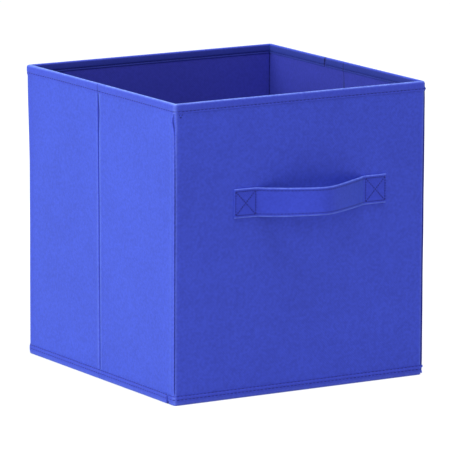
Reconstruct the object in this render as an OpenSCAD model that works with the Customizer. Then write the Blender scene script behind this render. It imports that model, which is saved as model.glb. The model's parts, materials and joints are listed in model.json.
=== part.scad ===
// Collapsible fabric storage bin for a cube shelf.
// +Z is up, the handle wall faces -Y, and the origin is the centre of the underside.
// Both side walls have an upright crease in the middle. They fold inwards along it, and the
// front wall then comes back flat against the back wall. Shapes are written for the back wall
// and for the rear half of the left wall, and the others are mirror images of them.

/* [Overall size] */
// Width across the front wall, outside the cloth
bin_w = 267; // [200:1:360]
// Depth from the outside of the front wall to the outside of the back wall
bin_d = 267; // [200:1:360]
// Height of the rim above the floor
bin_h = 276; // [210:1:400]

/* [Cloth and boards] */
// Thickness of the outer cloth
cover_t = 0.4; // [0.3:0.1:1]
// Thickness of the inner cloth
lining_t = 0.4; // [0.3:0.1:1]
// Thickness of the chipboard in each wall
board_t = 1.6; // [1:0.1:3]
// Width of the sewn margin around each board
seam_margin = 4; // [3:0.5:8]
// Slack between a board and the pocket that it sits in
board_slack = 1; // [0.5:0.1:2]

/* [Tapes] */
// Thickness of the rim tape and of the bottom tape
tape_t = 0.5; // [0.4:0.1:0.8]
// Height of the tape that is folded over the rim
rim_h = 9; // [6:0.5:15]
// Height of the tape that binds the bottom edge
binding_h = 9.5; // [7:0.5:12]
// Radius of the bottom tape's upright corners
binding_r = 3; // [1:0.5:6]

/* [Folds] */
// Room between a folded side wall and the wall that it lies against
fold_gap = 2; // [1.5:0.1:3]
// Radius of the cloth roll along each upright corner
roll_r = 1.2; // [0.8:0.1:1.4]
// Room between a corner roll and the side wall that turns round it
roll_gap = 0.4; // [0.3:0.1:1]
// Distance of the crease's axis outside the side wall
crease_out = 1.1; // [0.8:0.1:1.5]
// Radius of the sewn ridge along each crease
crease_r = 0.8; // [0.5:0.1:0.8]
// Width of the slot between the two halves of a side wall
crease_slot = 2.4; // [2:0.1:4]

/* [Base board] */
// Thickness of the loose base board's chipboard
base_core_t = 2.4; // [1.6:0.1:4]
// Room between the base board and the walls, on each side
base_gap = 2; // [1.5:0.5:5]
// Thickness of the cloth sewn across the bottom
bottom_t = 0.5; // [0.3:0.1:1]
// Room between the bottom cloth and the base board
base_lift = 0.2; // [0.1:0.1:1]

/* [Handle] */
// Width of the strap
strap_w = 27; // [20:1:40]
// Thickness of the folded strap
strap_t = 1.6; // [1:0.1:3]
// Distance between the inner ends of the two sewn squares
strap_span = 116; // [90:1:130]
// Length of each sewn end
strap_end = 23.5; // [18:0.5:28]
// How far the middle of the strap stands off the wall
strap_bow = 28; // [22:1:40]
// Length of the middle stretch that the hand takes
grip_len = 48; // [30:1:60]
// Distance of the strap's middle to the right of the wall's middle
strap_x = 10; // [-15:1:15]
// Distance of the strap's centre line below the rim
strap_drop = 96; // [60:1:110]
// Side of the stitched squares
stitch_side = 20; // [14:1:24]
// Width of a stitch line
stitch_w = 0.8; // [0.4:0.1:1.2]
// Height of a stitch line above the strap
stitch_t = 0.3; // [0.2:0.1:0.6]

/* [Hidden] */
$fn = 48;

wall_t = cover_t + board_t + lining_t;    // a wall's whole thickness
wall_z = binding_h + 0.2;                 // lower edge of the walls, just above the bottom tape
wall_top = bin_h - tape_t;                // upper edge of the walls, under the rim tape
wall_h = wall_top - wall_z;
half_w = bin_w / 2;
half_d = bin_d / 2;
hinge_x = half_w - wall_t / 2;            // the corner axes stand at (+-hinge_x, +-hinge_y)
hinge_y = half_d - 1.5 * wall_t - fold_gap;
crease_x = half_w + crease_out;           // the crease axes stand at (+-crease_x, 0)
side_y0 = crease_slot / 2;                // a half wall runs from here
side_y1 = hinge_y - roll_r - roll_gap;    // to here
well_w = bin_w - 2 * (wall_t + tape_t);   // inside of the bottom tape
well_d = bin_d - 2 * (wall_t + tape_t);
base_t = base_core_t + 2 * cover_t;
strap_z = bin_h - strap_drop;
bow_round = 0.18;                         // how rounded the strap's middle bend is
bow_steps = 12;                           // straight steps in half of the strap's bend
web_t = 0.8;                              // thickness of the cloth between a seam and its wall

// ---- Placing -------------------------------------------------------------------------------

// Mirrors a shape of the rear left quarter into another one.
module quarter(to_right = false, to_front = false) {
    mirror([to_right ? 1 : 0, 0, 0]) mirror([0, to_front ? 1 : 0, 0]) children();
}

// A box between two opposite corners.
module span_box(low, high) {
    translate(low) cube(high - low);
}

// ---- Back and front walls --------------------------------------------------------------------

// One layer of the back wall: from depth to depth + thick inside the outer face,
// with its edges margin short of the wall's.
module end_layer(depth, thick, margin = 0) {
    span_box(
        [-half_w + margin, half_d - depth - thick, wall_z + margin],
        [half_w - margin, half_d - depth, wall_top - margin]
    );
}

module end_cover() {
    difference() {
        end_layer(0, wall_t - lining_t);
        end_layer(cover_t, board_t + 1, seam_margin);
    }
}

module end_board() {
    end_layer(cover_t, board_t, seam_margin + board_slack);
}

module end_lining() {
    end_layer(wall_t - lining_t, lining_t);
}

// The rim tape goes over the wall's top edge and round its two ends.
module end_rim() {
    inner_x = half_w - wall_t - tape_t;
    difference() {
        span_box(
            [-half_w - tape_t, half_d - wall_t, bin_h - rim_h],
            [half_w + tape_t, half_d + tape_t, bin_h]
        );
        span_box([-half_w, half_d - wall_t - 1, 0], [half_w, half_d, wall_top]);
    }
    span_box(
        [-inner_x, half_d - wall_t - tape_t, bin_h - rim_h],
        [inner_x, half_d - wall_t, bin_h]
    );
}

// ---- Side walls, each in two halves ------------------------------------------------------------

// One layer of the rear half of the left wall, as end_layer.
module side_layer(depth, thick, margin = 0) {
    span_box(
        [-half_w + depth, side_y0 + margin, wall_z + margin],
        [-half_w + depth + thick, side_y1 - margin, wall_top - margin]
    );
}

module side_cover() {
    difference() {
        side_layer(0, wall_t - lining_t);
        side_layer(cover_t, board_t + 1, seam_margin);
    }
}

module side_board() {
    side_layer(cover_t, board_t, seam_margin + board_slack);
}

module side_lining() {
    side_layer(wall_t - lining_t, lining_t);
}

module side_rim() {
    difference() {
        span_box(
            [-half_w - tape_t, side_y0, bin_h - rim_h],
            [-half_w + wall_t + tape_t, side_y1, bin_h]
        );
        span_box([-half_w, side_y0 - 1, 0], [-half_w + wall_t, side_y1 + 1, wall_top]);
    }
}

// ---- Upright seams -----------------------------------------------------------------------------

// A roll of cloth on the corner's axis, joined to the back wall by a web.
module corner_seam() {
    translate([-hinge_x, hinge_y, wall_z]) cylinder(r = roll_r, h = wall_h);
    span_box(
        [-hinge_x - web_t / 2, hinge_y, wall_z],
        [-hinge_x + web_t / 2, half_d - wall_t, wall_top]
    );
}

// A ridge on the crease's axis, joined to the rear half wall by a web.
module crease_seam() {
    translate([-crease_x, 0, wall_z]) cylinder(r = crease_r, h = wall_h);
    span_box([-half_w - web_t / 2, 0, wall_z], [-half_w + cover_t, side_y0, wall_top]);
}

// ---- Bottom ------------------------------------------------------------------------------------

module rounded_rect(w, d, r) {
    square([w - 2 * r, d], center = true);
    square([w, d - 2 * r], center = true);
    for (x = [-1, 1], y = [-1, 1]) translate([x * (w / 2 - r), y * (d / 2 - r)]) circle(r);
}

module bottom_binding() {
    color("royalblue") linear_extrude(binding_h) difference() {
        rounded_rect(bin_w + 2 * tape_t, bin_d + 2 * tape_t, binding_r);
        square([well_w, well_d], center = true);
    }
}

module bottom_cloth() {
    color("mediumblue")
        translate([-well_w / 2, -well_d / 2, 0]) cube([well_w, well_d, bottom_t]);
}

// A box centred in the well, inset on every side from the base board's outside.
module base_box(inset) {
    w = well_w - 2 * (base_gap + inset);
    d = well_d - 2 * (base_gap + inset);
    translate([-w / 2, -d / 2, bottom_t + base_lift + inset]) cube([w, d, base_t - 2 * inset]);
}

module base_board_core() {
    color("burlywood") base_box(cover_t);
}

module base_board_cover() {
    color("mediumblue") difference() {
        base_box(0);
        base_box(cover_t);
    }
}

// ---- Handle ------------------------------------------------------------------------------------

// Distance of the strap's inner face from the wall, at x from the strap's middle.
function bow_at(x) =
    let (u = abs(x) / (strap_span / 2))
    strap_bow * (1 - (sqrt(u * u + bow_round * bow_round) - bow_round)
        / (sqrt(1 + bow_round * bow_round) - bow_round));

// The strap between two distances x0 and x1 from its middle.
module strap_stretch(x0, x1) {
    xs = [for (i = [0:bow_steps]) x0 + (x1 - x0) * i / bow_steps];
    inner = [for (x = xs) [x, -bow_at(x)]];
    outer = [for (i = [bow_steps:-1:0]) [xs[i], -bow_at(xs[i]) - strap_t]];
    translate([strap_x, -half_d, strap_z - strap_w / 2])
        linear_extrude(strap_w) polygon(concat(inner, outer));
}

// The sewn end on the side given by dir, -1 for left and 1 for right.
module strap_sewn_end(dir) {
    translate([strap_x + dir * (strap_span + strap_end) / 2, -half_d - strap_t / 2, strap_z])
        cube([strap_end, strap_t, strap_w], center = true);
}

// A stitched square with its two diagonals, on a sewn end.
module stitched_square(dir) {
    translate([strap_x + dir * (strap_span + strap_end) / 2, -half_d - strap_t, strap_z])
        rotate([90, 0, 0]) linear_extrude(stitch_t) {
            difference() {
                square(stitch_side, center = true);
                square(stitch_side - 2 * stitch_w, center = true);
            }
            for (a = [-45, 45])
                rotate(a) square([(stitch_side - stitch_w) * sqrt(2), stitch_w], center = true);
        }
}

// ---- One module for each sub-part ----------------------------------------------------------------

module front_cover() { color("mediumblue") quarter(to_front = true) end_cover(); }
module front_board() { color("burlywood") quarter(to_front = true) end_board(); }
module front_lining() { color("darkblue") quarter(to_front = true) end_lining(); }
module front_rim() { color("royalblue") quarter(to_front = true) end_rim(); }

module back_cover() { color("mediumblue") end_cover(); }
module back_board() { color("burlywood") end_board(); }
module back_lining() { color("darkblue") end_lining(); }
module back_rim() { color("royalblue") end_rim(); }

module left_rear_cover() { color("slateblue") side_cover(); }
module left_rear_board() { color("burlywood") side_board(); }
module left_rear_lining() { color("darkblue") side_lining(); }
module left_rear_rim() { color("royalblue") side_rim(); }

module left_front_cover() { color("slateblue") quarter(to_front = true) side_cover(); }
module left_front_board() { color("burlywood") quarter(to_front = true) side_board(); }
module left_front_lining() { color("darkblue") quarter(to_front = true) side_lining(); }
module left_front_rim() { color("royalblue") quarter(to_front = true) side_rim(); }

module right_rear_cover() { color("slateblue") quarter(to_right = true) side_cover(); }
module right_rear_board() { color("burlywood") quarter(to_right = true) side_board(); }
module right_rear_lining() { color("darkblue") quarter(to_right = true) side_lining(); }
module right_rear_rim() { color("royalblue") quarter(to_right = true) side_rim(); }

module right_front_cover() { color("slateblue") quarter(true, true) side_cover(); }
module right_front_board() { color("burlywood") quarter(true, true) side_board(); }
module right_front_lining() { color("darkblue") quarter(true, true) side_lining(); }
module right_front_rim() { color("royalblue") quarter(true, true) side_rim(); }

module rear_left_corner_seam() { color("royalblue") corner_seam(); }
module rear_right_corner_seam() { color("royalblue") quarter(to_right = true) corner_seam(); }
module front_left_corner_seam() { color("royalblue") quarter(to_front = true) corner_seam(); }
module front_right_corner_seam() { color("royalblue") quarter(true, true) corner_seam(); }

module left_crease_seam() { color("royalblue") crease_seam(); }
module right_crease_seam() { color("royalblue") quarter(to_right = true) crease_seam(); }

module handle_left_end() { color("royalblue") strap_sewn_end(-1); }
module handle_right_end() { color("royalblue") strap_sewn_end(1); }
module handle_left_arm() { color("royalblue") strap_stretch(-strap_span / 2, -grip_len / 2); }
module handle_right_arm() { color("royalblue") strap_stretch(grip_len / 2, strap_span / 2); }
module handle_grip() { color("royalblue") strap_stretch(-grip_len / 2, grip_len / 2); }
module handle_left_stitching() { color("navy") stitched_square(-1); }
module handle_right_stitching() { color("navy") stitched_square(1); }

front_cover();
front_board();
front_lining();
front_rim();
back_cover();
back_board();
back_lining();
back_rim();
left_rear_cover();
left_rear_board();
left_rear_lining();
left_rear_rim();
left_front_cover();
left_front_board();
left_front_lining();
left_front_rim();
right_rear_cover();
right_rear_board();
right_rear_lining();
right_rear_rim();
right_front_cover();
right_front_board();
right_front_lining();
right_front_rim();
rear_left_corner_seam();
rear_right_corner_seam();
front_left_corner_seam();
front_right_corner_seam();
left_crease_seam();
right_crease_seam();
bottom_binding();
bottom_cloth();
base_board_core();
base_board_cover();
handle_left_end();
handle_right_end();
handle_left_arm();
handle_right_arm();
handle_grip();
handle_left_stitching();
handle_right_stitching();
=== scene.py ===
"""Collapsible fabric storage bin: cloth, tapes, stitching, strap and boards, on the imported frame.

The walls are one ring of cloth, cut into stretches where they fold. Positions round the ring are
lengths along the outer face, from the middle of the left wall towards the front.
"""

import json
import logging
import math
from collections.abc import Callable, Iterable
from dataclasses import dataclass
from enum import Enum
from functools import cache

import bmesh
import bpy
from mathutils import Matrix, Quaternion, Vector, noise


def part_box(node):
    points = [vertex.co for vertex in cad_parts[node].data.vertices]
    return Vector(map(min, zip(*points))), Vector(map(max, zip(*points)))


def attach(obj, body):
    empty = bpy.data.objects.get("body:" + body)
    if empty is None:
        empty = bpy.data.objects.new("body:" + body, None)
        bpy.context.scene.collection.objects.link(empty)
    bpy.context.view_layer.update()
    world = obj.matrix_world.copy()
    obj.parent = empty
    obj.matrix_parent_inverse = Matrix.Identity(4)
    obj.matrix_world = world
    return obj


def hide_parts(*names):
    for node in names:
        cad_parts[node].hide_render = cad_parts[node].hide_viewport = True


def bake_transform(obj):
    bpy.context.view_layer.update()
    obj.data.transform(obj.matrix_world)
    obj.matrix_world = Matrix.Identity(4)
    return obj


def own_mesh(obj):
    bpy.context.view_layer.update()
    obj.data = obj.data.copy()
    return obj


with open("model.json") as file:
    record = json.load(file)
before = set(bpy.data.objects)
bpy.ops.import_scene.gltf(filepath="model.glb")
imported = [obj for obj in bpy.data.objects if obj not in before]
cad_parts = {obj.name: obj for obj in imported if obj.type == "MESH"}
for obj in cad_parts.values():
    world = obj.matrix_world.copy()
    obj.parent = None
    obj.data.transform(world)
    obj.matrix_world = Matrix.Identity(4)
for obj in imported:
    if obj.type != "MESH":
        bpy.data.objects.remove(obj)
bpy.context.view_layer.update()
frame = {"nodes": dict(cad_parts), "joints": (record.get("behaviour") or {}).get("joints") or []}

MM = 0.001
SHARP_ANGLE = math.radians(50)
Place = Callable[[float, float], Vector]
Colour = tuple[float, float, float, float]

log = logging.getLogger("storage_bin")


# ---- Small helpers -----------------------------------------------------------------------------


def smooth(low: float, high: float, x: float) -> float:
    """Rises smoothly from 0 at low to 1 at high.

    Args:
        low: Where the rise starts.
        high: Where the rise ends; it may lie below low.
        x: The position.

    Returns:
        A share from 0 to 1.
    """
    t = min(1.0, max(0.0, (x - low) / (high - low)))
    return t * t * (3 - 2 * t)


def hump(x: float, centre: float, before: float, after: float | None = None) -> float:
    """A bell-shaped rise to 1 at centre.

    Args:
        x: The position.
        centre: Where the bell is highest.
        before: Its width below centre.
        after: Its width above centre, the same if left out.

    Returns:
        The height of the bell, from 0 to 1.
    """
    width = before if x < centre or after is None else after
    return math.exp(-(((x - centre) / width) ** 2))


def stations(start: float, end: float, step: float, windows: Iterable[tuple] = ()) -> list[float]:
    """Positions from start to end, closer together inside the windows.

    Args:
        start: The first position.
        end: The last position.
        step: The widest spacing.
        windows: Tuples of low, high and the spacing between them.

    Returns:
        The positions in rising order, start and end included.
    """
    marks = [start]
    while marks[-1] < end - 0.02 * MM:
        here = marks[-1]
        inside = [fine for low, high, fine in windows if low - 1e-9 <= here < high]
        ahead = here + min([step, *inside])
        starts = [low for low, _, _ in windows if here + 1e-9 < low < ahead]
        marks.append(min([ahead, end, *starts]))
    return marks


def joint_place(name: str) -> Vector:
    """The point that a joint's axis passes through.

    Args:
        name: The joint's name in the record.

    Returns:
        The point in metres.
    """
    joint = next(j for j in frame["joints"] if j["name"] == name)
    return Vector(joint["pos_m"])


def finish_mesh(bm: bmesh.types.BMesh, name: str, material: bpy.types.Material) -> bpy.types.Object:
    """Turns a bmesh into a smooth-shaded object with a material.

    Args:
        bm: The shape, which is freed.
        name: The new object's name.
        material: Its finish.

    Returns:
        The new object.
    """
    mesh = bpy.data.meshes.new(name)
    for face in bm.faces:
        face.smooth = True
    bm.to_mesh(mesh)
    bm.free()
    mesh.set_sharp_from_angle(angle=SHARP_ANGLE)
    mesh.materials.append(material)
    piece = bpy.data.objects.new(name, mesh)
    bpy.context.scene.collection.objects.link(piece)
    return piece


def keep_rest(bm: bmesh.types.BMesh) -> None:
    """Stores each point's place at rest, which the finishes read, so patterns don't slide."""
    rest = bm.verts.layers.float_vector.get("rest") or bm.verts.layers.float_vector.new("rest")
    for vert in bm.verts:
        vert[rest] = vert.co


def lay_pattern(bm: bmesh.types.BMesh, at: Callable[[bmesh.types.BMVert], Iterable]) -> None:
    """Stores where each point lies on the flat cloth, which the finishes' pattern reads.

    Args:
        bm: The shape.
        at: Gives a point's two coordinates on the flat cloth.
    """
    uv = bm.loops.layers.uv.new("cloth")
    for face in bm.faces:
        for loop in face.loops:
            loop[uv].uv = at(loop.vert)


def cloth_patch(
    name: str,
    us: list[float],
    vs: list[float],
    place: Place,
    thick: float,
    material: bpy.types.Material,
    wear_and_painted_light: Callable[[float, float], float] = lambda u, v: 0.0,
) -> bpy.types.Object:
    """A sheet of cloth over a grid of positions, with its thickness behind its good side.

    Args:
        name: The piece's name.
        us: Positions along the cloth.
        vs: Positions across the cloth.
        place: Gives the point of the good side at a position.
        thick: The cloth's thickness.
        material: The cloth's finish.
        wear_and_painted_light: From 0 to 1, how much scuffing and painted highlight lighten the
            cloth at a position; below 0, how much painted shade darkens it in a groove.

    Returns:
        The closed sheet.
    """
    bm = bmesh.new()
    flat = bm.verts.layers.float_vector.new("flat")
    worn_and_painted_light = bm.verts.layers.float.new("wear_and_painted_light")
    bmesh.ops.create_grid(bm, x_segments=len(us) - 1, y_segments=len(vs) - 1, size=0.5)
    bm.verts.ensure_lookup_table()
    for index, vert in enumerate(bm.verts):
        u, v = us[index % len(us)], vs[index // len(us)]
        vert.co = place(u, v)
        vert[flat] = (u, v, 0)
        # Above 0 the attribute lightens the cloth with scuffing and painted highlight; below 0 it
        # darkens it with painted shade.
        vert[worn_and_painted_light] = wear_and_painted_light(u, v)
    bm.normal_update()
    bmesh.ops.solidify(bm, geom=bm.faces[:], thickness=thick)
    keep_rest(bm)
    lay_pattern(bm, lambda vert: vert[flat].xy)
    return finish_mesh(bm, name, material)


# ---- Finishes ----------------------------------------------------------------------------------


class Nodes:
    """Adds nodes to one tree, so that a finish reads as a list of steps."""

    @staticmethod
    def start(name: str) -> tuple[bpy.types.Material, "Nodes"]:
        """Starts a material and returns it with its node helper."""
        made = bpy.data.materials.new(name)
        made.use_nodes = True
        return made, Nodes(made.node_tree)

    def __init__(self, tree: bpy.types.NodeTree) -> None:
        """Starts with the tree's own nodes removed."""
        self.tree = tree
        tree.nodes.clear()

    def add(self, kind: str, inputs: dict | None = None, **settings: object) -> bpy.types.Node:
        """Adds one node.

        Args:
            kind: The node's type.
            inputs: Values or sockets for its inputs, by name or number.
            settings: Its other properties.

        Returns:
            The node.
        """
        node = self.tree.nodes.new(kind)
        for key, value in settings.items():
            setattr(node, key, value)
        for key, value in (inputs or {}).items():
            if isinstance(value, bpy.types.NodeSocket):
                self.tree.links.new(value, node.inputs[key])
            else:
                node.inputs[key].default_value = value
        return node

    def maths(self, operation: str, first: object, second: object = 0.0) -> bpy.types.NodeSocket:
        """Adds a Math node and returns its output."""
        return self.add("ShaderNodeMath", {0: first, 1: second}, operation=operation).outputs[0]

    def scaled(self, vector: object, by: float | tuple) -> bpy.types.NodeSocket:
        """Multiplies a vector by a number or by three numbers."""
        factors = by if isinstance(by, tuple) else (by, by, by)
        node = self.add("ShaderNodeVectorMath", {0: vector, 1: factors}, operation="MULTIPLY")
        return node.outputs[0]

    def spread(self, value: object, low: float, high: float, to_low: float = 0.0,
               to_high: float = 1.0) -> bpy.types.NodeSocket:
        """Maps a value from one range to another and returns the output."""
        inputs = {"Value": value, "From Min": low, "From Max": high,
                  "To Min": to_low, "To Max": to_high}
        return self.add("ShaderNodeMapRange", inputs).outputs["Result"]

    def surface(self, **inputs: object) -> None:
        """Ends a material with its shader, whose inputs' names have _ for each space."""
        named = {key.replace("_", " "): value for key, value in inputs.items()}
        shader = self.add("ShaderNodeBsdfPrincipled", named)
        self.add("ShaderNodeOutputMaterial", {"Surface": shader.outputs[0]})

    def blend(self, share: object, first: object, second: object) -> bpy.types.NodeSocket:
        """Mixes two colours and returns the mix."""
        node = self.add("ShaderNodeMix", data_type="RGBA")
        for socket, value in zip((node.inputs[0], node.inputs[6], node.inputs[7]),
                                 (share, first, second)):
            if isinstance(value, bpy.types.NodeSocket):
                self.tree.links.new(value, socket)
            else:
                socket.default_value = value
        return node.outputs[2]


class Effects:
    """The shader node groups that several finishes share."""

    def __init__(self) -> None:
        """Builds each group once."""
        self.bonded = self._bonded_cloth()
        self.lightened = self._lightened_folds()

    @staticmethod
    def _group(name: str, takes: dict[str, str], gives: dict[str, str]) -> tuple:
        """Starts a node group.

        Args:
            name: The group's name.
            takes: Its inputs' names and socket types.
            gives: Its outputs' names and socket types.

        Returns:
            The group, its node helper and its input node.
        """
        tree = bpy.data.node_groups.new(name, "ShaderNodeTree")
        for label, kind in takes.items():
            tree.interface.new_socket(label, in_out="INPUT", socket_type=kind)
        for label, kind in gives.items():
            tree.interface.new_socket(label, in_out="OUTPUT", socket_type=kind)
        nodes = Nodes(tree)
        return tree, nodes, nodes.add("NodeGroupInput")

    def _bonded_cloth(self) -> bpy.types.NodeTree:
        """Spunbond cloth: rows of pressed points, loose fibres between them, and cloudy patches.

        Returns:
            A group that gives a height, a tone and a fibre mask.
        """
        tree, nodes, source = self._group(
            "bonded_cloth",
            {"Rest": "NodeSocketVector", "Flat": "NodeSocketVector", "Points": "NodeSocketFloat"},
            {"Height": "NodeSocketFloat", "Tone": "NodeSocketFloat", "Fibre": "NodeSocketFloat"},
        )
        rest, flat, points = (source.outputs[n] for n in ("Rest", "Flat", "Points"))
        turned = nodes.add(
            "ShaderNodeMapping", {"Vector": flat, "Rotation": (0, 0, math.radians(45))})
        dots = nodes.add(
            "ShaderNodeTexVoronoi",
            {"Vector": turned.outputs[0], "Scale": points, "Randomness": 0.06},
            voronoi_dimensions="2D")
        between = nodes.spread(dots.outputs["Distance"], 0.16, 0.36)
        fibre = nodes.add(
            "ShaderNodeTexNoise",
            {"Vector": nodes.scaled(rest, (1.0, 1.0, 0.55)), "Scale": 1500.0, "Detail": 2.0,
             "Distortion": 1.2})
        cloud = nodes.add(
            "ShaderNodeTexNoise", {"Vector": rest, "Scale": 34.0, "Detail": 3.0, "Roughness": 0.6})
        patch = nodes.add("ShaderNodeTexNoise", {"Vector": rest, "Scale": 7.0, "Detail": 1.0})
        height = nodes.maths(
            "ADD", nodes.maths("MULTIPLY", between, 0.65),
            nodes.maths("MULTIPLY", fibre.outputs[0], 0.35))
        speck = nodes.add("ShaderNodeTexNoise", {"Vector": rest, "Scale": 430.0, "Detail": 1.0})
        tone = nodes.maths(
            "ADD", nodes.maths("MULTIPLY", cloud.outputs[0], 0.55),
            nodes.maths("MULTIPLY", patch.outputs[0], 0.45))
        fine = nodes.maths("MULTIPLY", between, 0.16)
        fine = nodes.maths("ADD", fine, nodes.spread(speck.outputs[0], 0.3, 0.7, 0.0, 0.56))
        full_tone = nodes.maths("ADD", nodes.spread(tone, 0.32, 0.68, 0.0, 0.36), fine)
        nodes.add("NodeGroupOutput", {"Height": height, "Tone": full_tone,
                                      "Fibre": fibre.outputs[0]})
        return tree

    def _lightened_folds(self) -> bpy.types.NodeTree:
        """Lighter along folds, patchy: scuffing, and a painted highlight along the rim's top and
        the strap's edges, strongest where the cloth's attribute is highest.

        Returns:
            A group that gives a mask.
        """
        tree, nodes, source = self._group(
            "lightened_folds", {"Rest": "NodeSocketVector", "Wear_and_painted_light": "NodeSocketFloat"},
            {"Mask": "NodeSocketFloat"})
        grain = nodes.add(
            "ShaderNodeTexNoise",
            {"Vector": source.outputs["Rest"], "Scale": 260.0, "Detail": 3.0, "Roughness": 0.7})
        patchy = nodes.spread(grain.outputs[0], 0.3, 0.7, 0.35, 1.0)
        nodes.add("NodeGroupOutput",
                  {"Mask": nodes.maths("MULTIPLY", patchy, source.outputs["Wear_and_painted_light"])})
        return tree


@dataclass(frozen=True)
class ClothFinish:
    """Spunbond cloth in one dye lot."""

    name: str
    deep: Colour
    light: Colour
    # The pale colour serves scuffed folds and painted highlights; the groove colour is painted
    # shade in grooves, seams, laps and on the rim tape's inner side.
    worn_and_painted_light: Colour
    groove: Colour = (0.009, 0.012, 0.15, 1.0)
    points: float = 620.0
    emboss: float = 0.07 * MM
    smooth_rough: float = 0.5
    fuzzy_rough: float = 0.68
    sheen: float = 0.21
    sheen_rough: float = 0.42
    sheen_tint: Colour = (0.28, 0.92, 1.0, 1.0)
    gloss: float = 0.3

    def material(self, effects: Effects) -> bpy.types.Material:
        """Builds the finish.

        Args:
            effects: The shared node groups.

        Returns:
            The material.
        """
        made, nodes = Nodes.start(self.name)
        rest = nodes.add("ShaderNodeAttribute", attribute_name="rest").outputs["Vector"]
        flat = nodes.add("ShaderNodeUVMap", uv_map="cloth").outputs[0]
        wear_and_painted_light = nodes.add("ShaderNodeAttribute", attribute_name="wear_and_painted_light").outputs["Fac"]
        cloth = nodes.add("ShaderNodeGroup", node_tree=effects.bonded)
        nodes.tree.links.new(rest, cloth.inputs["Rest"])
        nodes.tree.links.new(flat, cloth.inputs["Flat"])
        cloth.inputs["Points"].default_value = self.points
        lightened = nodes.add("ShaderNodeGroup", node_tree=effects.lightened)
        nodes.tree.links.new(rest, lightened.inputs["Rest"])
        nodes.tree.links.new(wear_and_painted_light, lightened.inputs["Wear_and_painted_light"])
        dyed = nodes.blend(cloth.outputs["Tone"], self.deep, self.light)
        # Lighter towards the pale colour where the cloth is scuffed and where a highlight is
        # painted.
        lighter = nodes.blend(lightened.outputs["Mask"], dyed, self.worn_and_painted_light)
        # Painted shade: below 0 the attribute darkens the colour towards the groove colour.
        colour = nodes.blend(nodes.spread(wear_and_painted_light, 0.0, -1.0), lighter, self.groove)
        rough = nodes.spread(
            cloth.outputs["Fibre"], 0.3, 0.7, self.smooth_rough, self.fuzzy_rough)
        bump = nodes.add(
            "ShaderNodeBump",
            {"Height": cloth.outputs["Height"], "Distance": self.emboss, "Strength": 0.8})
        nodes.surface(
            Base_Color=colour, Roughness=rough, Normal=bump.outputs[0],
            Specular_IOR_Level=self.gloss, Sheen_Weight=self.sheen,
            Sheen_Roughness=self.sheen_rough, Sheen_Tint=self.sheen_tint)
        return made


@dataclass(frozen=True)
class ThreadFinish:
    """Twisted sewing thread."""

    name: str
    deep: Colour
    light: Colour

    def material(self) -> bpy.types.Material:
        """Builds the finish.

        Returns:
            The material.
        """
        made, nodes = Nodes.start(self.name)
        rest = nodes.add("ShaderNodeAttribute", attribute_name="rest").outputs["Vector"]
        tone = nodes.add("ShaderNodeTexNoise", {"Vector": rest, "Scale": 330.0, "Detail": 2.0})
        twist = nodes.add(
            "ShaderNodeTexWave", {"Vector": rest, "Scale": 420.0, "Distortion": 1.5},
            bands_direction="DIAGONAL")
        colour = nodes.blend(nodes.spread(tone.outputs[0], 0.3, 0.7), self.deep, self.light)
        bump = nodes.add(
            "ShaderNodeBump",
            {"Height": twist.outputs["Fac"], "Distance": 0.05 * MM, "Strength": 0.6})
        rough = nodes.spread(twist.outputs["Fac"], 0.0, 1.0, 0.42, 0.6)
        nodes.surface(Base_Color=colour, Roughness=rough, Normal=bump.outputs[0],
                      Specular_IOR_Level=0.25)
        return made


@dataclass(frozen=True)
class ChipboardFinish:
    """Grey recycled board with flecks of paper and darker fibre."""

    name: str = "grey_chipboard"
    ground: Colour = (0.42, 0.36, 0.28, 1.0)
    fleck: Colour = (0.56, 0.51, 0.43, 1.0)
    dark: Colour = (0.2, 0.16, 0.12, 1.0)

    def material(self) -> bpy.types.Material:
        """Builds the finish.

        Returns:
            The material.
        """
        made, nodes = Nodes.start(self.name)
        place = nodes.add("ShaderNodeTexCoord").outputs["Object"]
        pulp = nodes.add("ShaderNodeTexNoise", {"Vector": place, "Scale": 240.0, "Detail": 5.0})
        flecks = nodes.add("ShaderNodeTexVoronoi", {"Vector": place, "Scale": 420.0})
        ground = nodes.blend(nodes.spread(pulp.outputs[0], 0.35, 0.65), self.ground, self.fleck)
        few = nodes.spread(flecks.outputs["Distance"], 0.16, 0.08, 0.0, 0.7)
        colour = nodes.blend(few, ground, self.dark)
        bump = nodes.add(
            "ShaderNodeBump", {"Height": pulp.outputs[0], "Distance": 0.06 * MM, "Strength": 0.7})
        rough = nodes.spread(pulp.outputs[0], 0.3, 0.7, 0.75, 0.95)
        nodes.surface(Base_Color=colour, Roughness=rough, Normal=bump.outputs[0],
                      Specular_IOR_Level=0.2)
        return made


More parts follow.
